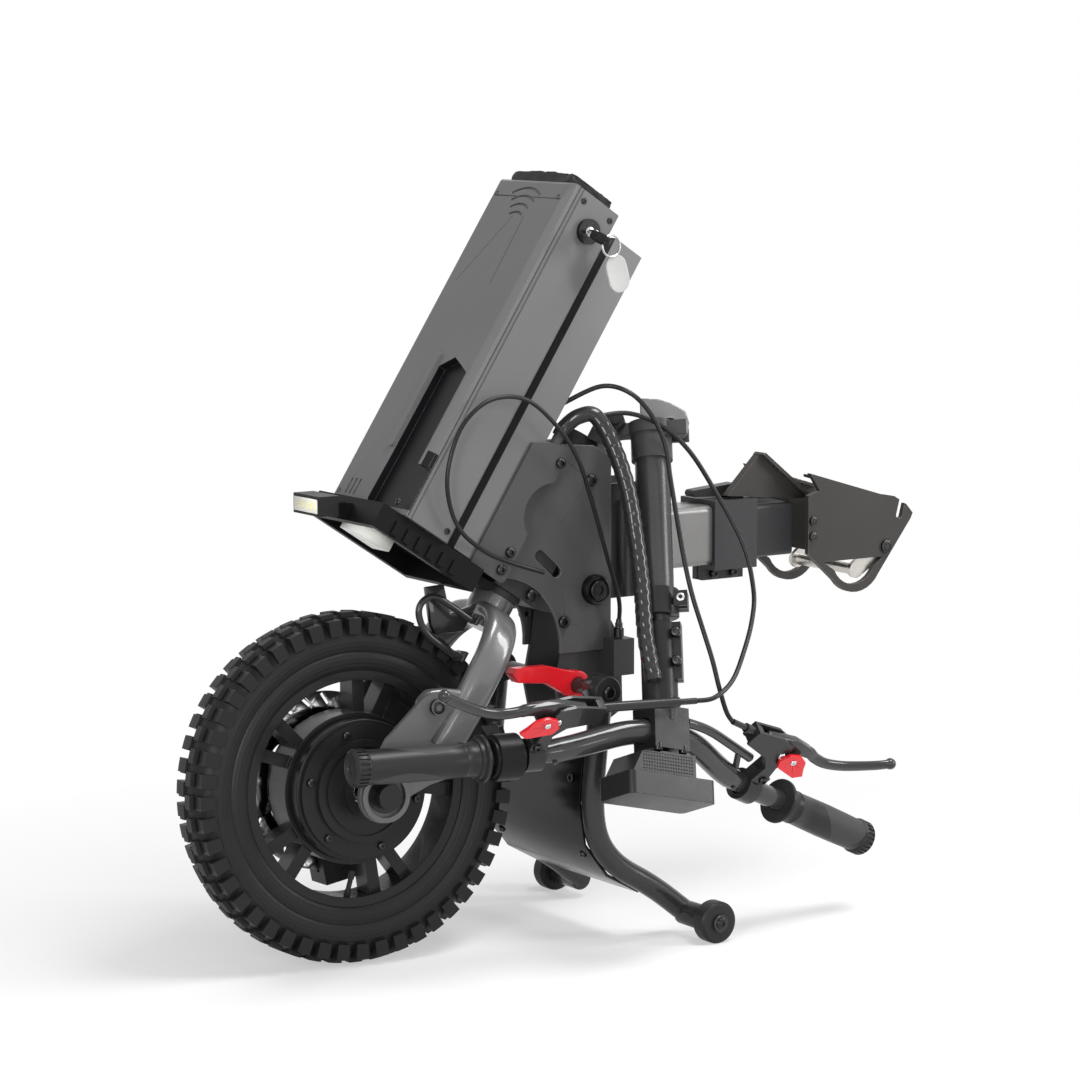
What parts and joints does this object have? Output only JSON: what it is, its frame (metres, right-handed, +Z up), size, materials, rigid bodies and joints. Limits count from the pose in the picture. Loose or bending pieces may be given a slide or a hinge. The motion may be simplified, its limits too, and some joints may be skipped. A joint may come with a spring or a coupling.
{
  "type": "wheelchair power assist",
  "caption": "Motor wheel in a raked steering frame with a slide-in battery, a folded handlebar column, a docking arm and a parking stand.",
  "frame": {"origin": "on the floor, under the middle of the parked machine", "axes": "+X toward the driven wheel, +Y toward the side with the folded handlebar, +Z up"},
  "size_m": [0.8612, 0.3778, 0.7932],
  "materials": {
    "side_plate_left": "satin black powder coat",
    "bracket_plates": "satin dark grey powder coat",
    "head_block": "satin black",
    "battery_rail": "dark anodised",
    "battery_tray": "fine-grained black plastic",
    "plate_screws": "blackened steel",
    "controller": "black anodised, finned",
    "arm_tube": "satin grey",
    "arm_collar": "satin dark grey",
    "arm_bracket": "satin black",
    "under_strip": "pale translucent",
    "stand_bracket": "satin grey",
    "cords": "black sheath",
    "lamp_body": "black",
    "lamp_lens": "clear, yellowish strips behind",
    "battery_case": "dark anodised",
    "battery_cover": "dark anodised, brushed",
    "battery_handle": "black",
    "lock_barrel": "black chrome",
    "key": "nickel",
    "fork": "satin graphite",
    "dropouts": "satin graphite",
    "stator_axle": "ground",
    "axle_caps": "blackened steel",
    "brake_caliper": "black",
    "crown_bracket": "black",
    "hinge_base": "satin black",
    "tyre": "black rubber",
    "rim": "satin black",
    "hub_shell": "satin black",
    "hub_cover": "satin black",
    "brake_disc": "ground",
    "hub_bearings": "polished",
    "hinge_head": "grey anodised",
    "column_tube": "satin graphite",
    "column_collar": "black",
    "hinge_lever": "grey cast",
    "mast_tube": "satin black",
    "stem_clamp": "satin black",
    "handlebar": "satin black",
    "grips": "black, ribbed",
    "lever_brackets": "satin black",
    "display": "black",
    "throttle": "black",
    "levers": "satin black",
    "latches": "red",
    "dock_tube": "satin dark grey",
    "dock_head": "satin black powder coat",
    "dock_jaw": "zinc plated",
    "arm_lever": "black",
    "stand_frame": "satin black",
    "stand_guard": "satin black",
    "stand_wheels": "black",
    "release_lever": "red"
  },
  "bodies": {
    "frame": {"side_plate_left": "side_plate_left", "side_plate_right": "side_plate_left", "bracket_plates": "bracket_plates", "head_block": "head_block", "battery_rail": "battery_rail", "battery_tray": "battery_tray", "plate_screws": "plate_screws", "controller": "controller", "arm_tube": "arm_tube", "arm_collar": "arm_collar", "arm_bracket": "arm_bracket", "under_strip": "under_strip", "stand_bracket": "stand_bracket", "harness": "cords", "brake_hoses": "cords", "side_loops": "cords"},
    "lamp": {"lamp_body": "lamp_body", "lamp_lens": "lamp_lens"},
    "battery": {"battery_case": "battery_case", "battery_cover": "battery_cover", "battery_handle": "battery_handle", "lock_barrel": "lock_barrel"},
    "key": {"key": "key"},
    "fork": {"fork": "fork", "dropouts": "dropouts", "stator_axle": "stator_axle", "axle_caps": "axle_caps", "brake_caliper": "brake_caliper", "crown_bracket": "crown_bracket", "hinge_base": "hinge_base"},
    "wheel": {"tyre": "tyre", "rim": "rim", "hub_shell": "hub_shell", "hub_cover": "hub_cover", "brake_disc": "brake_disc", "hub_bearings": "hub_bearings"},
    "column": {"hinge_head": "hinge_head", "column_tube": "column_tube", "column_collar": "column_collar"},
    "hinge_lever": {"hinge_lever": "hinge_lever"},
    "mast": {"mast_tube": "mast_tube", "stem_clamp": "stem_clamp", "handlebar": "handlebar", "grips": "grips", "lever_brackets": "lever_brackets", "display": "display"},
    "throttle": {"throttle": "throttle"},
    "brake_lever_left": {"brake_lever_left": "levers"},
    "brake_lever_right": {"brake_lever_right": "levers"},
    "latch_left": {"latch_left": "latches"},
    "latch_right": {"latch_right": "latches"},
    "dock": {"dock_tube": "dock_tube", "dock_head": "dock_head"},
    "dock_jaw": {"dock_jaw": "dock_jaw"},
    "arm_lever": {"arm_lever": "arm_lever"},
    "stand": {"stand_frame": "stand_frame", "stand_guard": "stand_guard"},
    "stand_wheel_left": {"stand_wheel_left": "stand_wheels"},
    "stand_wheel_right": {"stand_wheel_right": "stand_wheels"},
    "release_lever": {"release_lever": "release_lever"}
  },
  "joints": [
    {"name": "steering", "type": "hinge", "parent": "frame", "child": "fork", "pos_m": [0.0814, -0.0264, 0.35], "axis": [-0.5446, 0, 0.8387], "range_deg": [-10, 10], "deforming": ["harness", "brake_hoses"]},
    {"name": "wheel_spin", "type": "hinge", "parent": "fork", "child": "wheel", "pos_m": [0.2521, -0.03163, 0.17845], "axis": [0.0877, 0.9945, 0.0569], "continuous": true},
    {"name": "column_fold", "type": "hinge", "parent": "fork", "child": "column", "pos_m": [-0.06204, -0.00133, 0.52871], "axis": [0.6183, 0.6756, 0.4016], "range_deg": [0, 151.5], "deforming": ["harness", "brake_hoses"]},
    {"name": "hinge_lock", "type": "hinge", "parent": "column", "child": "hinge_lever", "pos_m": [-0.10942, 0.04395, 0.52549], "axis": [-0.6183, -0.6756, -0.4016], "range_deg": [0, 70]},
    {"name": "mast_slide", "type": "slide", "parent": "column", "child": "mast", "axis": [0.2083, 0.3518, -0.9126], "range_m": [0, 0.06], "deforming": ["harness", "brake_hoses"]},
    {"name": "throttle_turn", "type": "hinge", "parent": "mast", "child": "throttle", "pos_m": [0.15112, 0.10963, 0.22042], "axis": [0.9936, -0.1115, 0.0194], "range_deg": [0, 30], "stiffness_Nm_per_rad": 0.4},
    {"name": "brake_left", "type": "hinge", "parent": "mast", "child": "brake_lever_left", "pos_m": [0.12061, 0.15029, 0.26442], "axis": [0.0981, 0.764, -0.6378], "range_deg": [0, 14], "stiffness_Nm_per_rad": 2, "springref_deg": -2.86},
    {"name": "latch_left_turn", "type": "hinge", "parent": "brake_lever_left", "child": "latch_left", "pos_m": [0.13463, 0.15, 0.26623], "axis": [0.0981, 0.764, -0.6378], "range_deg": [0, 20]},
    {"name": "brake_right", "type": "hinge", "parent": "mast", "child": "brake_lever_right", "pos_m": [-0.1598, 0.14936, 0.20006], "axis": [-0.185, -0.7642, 0.6178], "range_deg": [0, 14], "stiffness_Nm_per_rad": 2, "springref_deg": -2.86},
    {"name": "latch_right_turn", "type": "hinge", "parent": "brake_lever_right", "child": "latch_right", "pos_m": [-0.17321, 0.14898, 0.19558], "axis": [-0.185, -0.7642, 0.6178], "range_deg": [0, 20]},
    {"name": "lamp_tilt", "type": "hinge", "parent": "frame", "child": "lamp", "pos_m": [0.2664, -0.0264, 0.463], "axis": [0, -1, 0], "range_deg": [-12, 12]},
    {"name": "battery_slide", "type": "slide", "parent": "frame", "child": "battery", "axis": [-0.5446, 0, 0.8387], "range_m": [0, 0.36]},
    {"name": "key_turn", "type": "hinge", "parent": "battery", "child": "key", "pos_m": [0.00836, 0.0426, 0.7342], "axis": [0, 1, 0], "range_deg": [0, 90]},
    {"name": "arm_slide", "type": "slide", "parent": "frame", "child": "dock", "axis": [-1, 0, 0], "range_m": [0, 0.08]},
    {"name": "arm_clamp", "type": "hinge", "parent": "frame", "child": "arm_lever", "pos_m": [-0.2276, -0.0264, 0.45], "axis": [0, -1, 0], "range_deg": [0, 90]},
    {"name": "dock_latch", "type": "hinge", "parent": "dock", "child": "dock_jaw", "pos_m": [-0.3936, -0.0264, 0.382], "axis": [0, 1, 0], "range_deg": [0, 25]},
    {"name": "stand_fold", "type": "hinge", "parent": "frame", "child": "stand", "pos_m": [0.0084, -0.0264, 0.267], "axis": [0, 1, 0], "range_deg": [0, 20]},
    {"name": "stand_wheel_left_spin", "type": "hinge", "parent": "stand", "child": "stand_wheel_left", "pos_m": [-0.0986, 0.1216, 0.022], "axis": [0, 1, 0], "continuous": true},
    {"name": "stand_wheel_right_spin", "type": "hinge", "parent": "stand", "child": "stand_wheel_right", "pos_m": [-0.0986, -0.1744, 0.022], "axis": [0, 1, 0], "continuous": true},
    {"name": "release_turn", "type": "hinge", "parent": "stand", "child": "release_lever", "pos_m": [0.0084, 0.0206, 0.267], "axis": [0, 1, 0], "range_deg": [0, 15]}
  ]
}
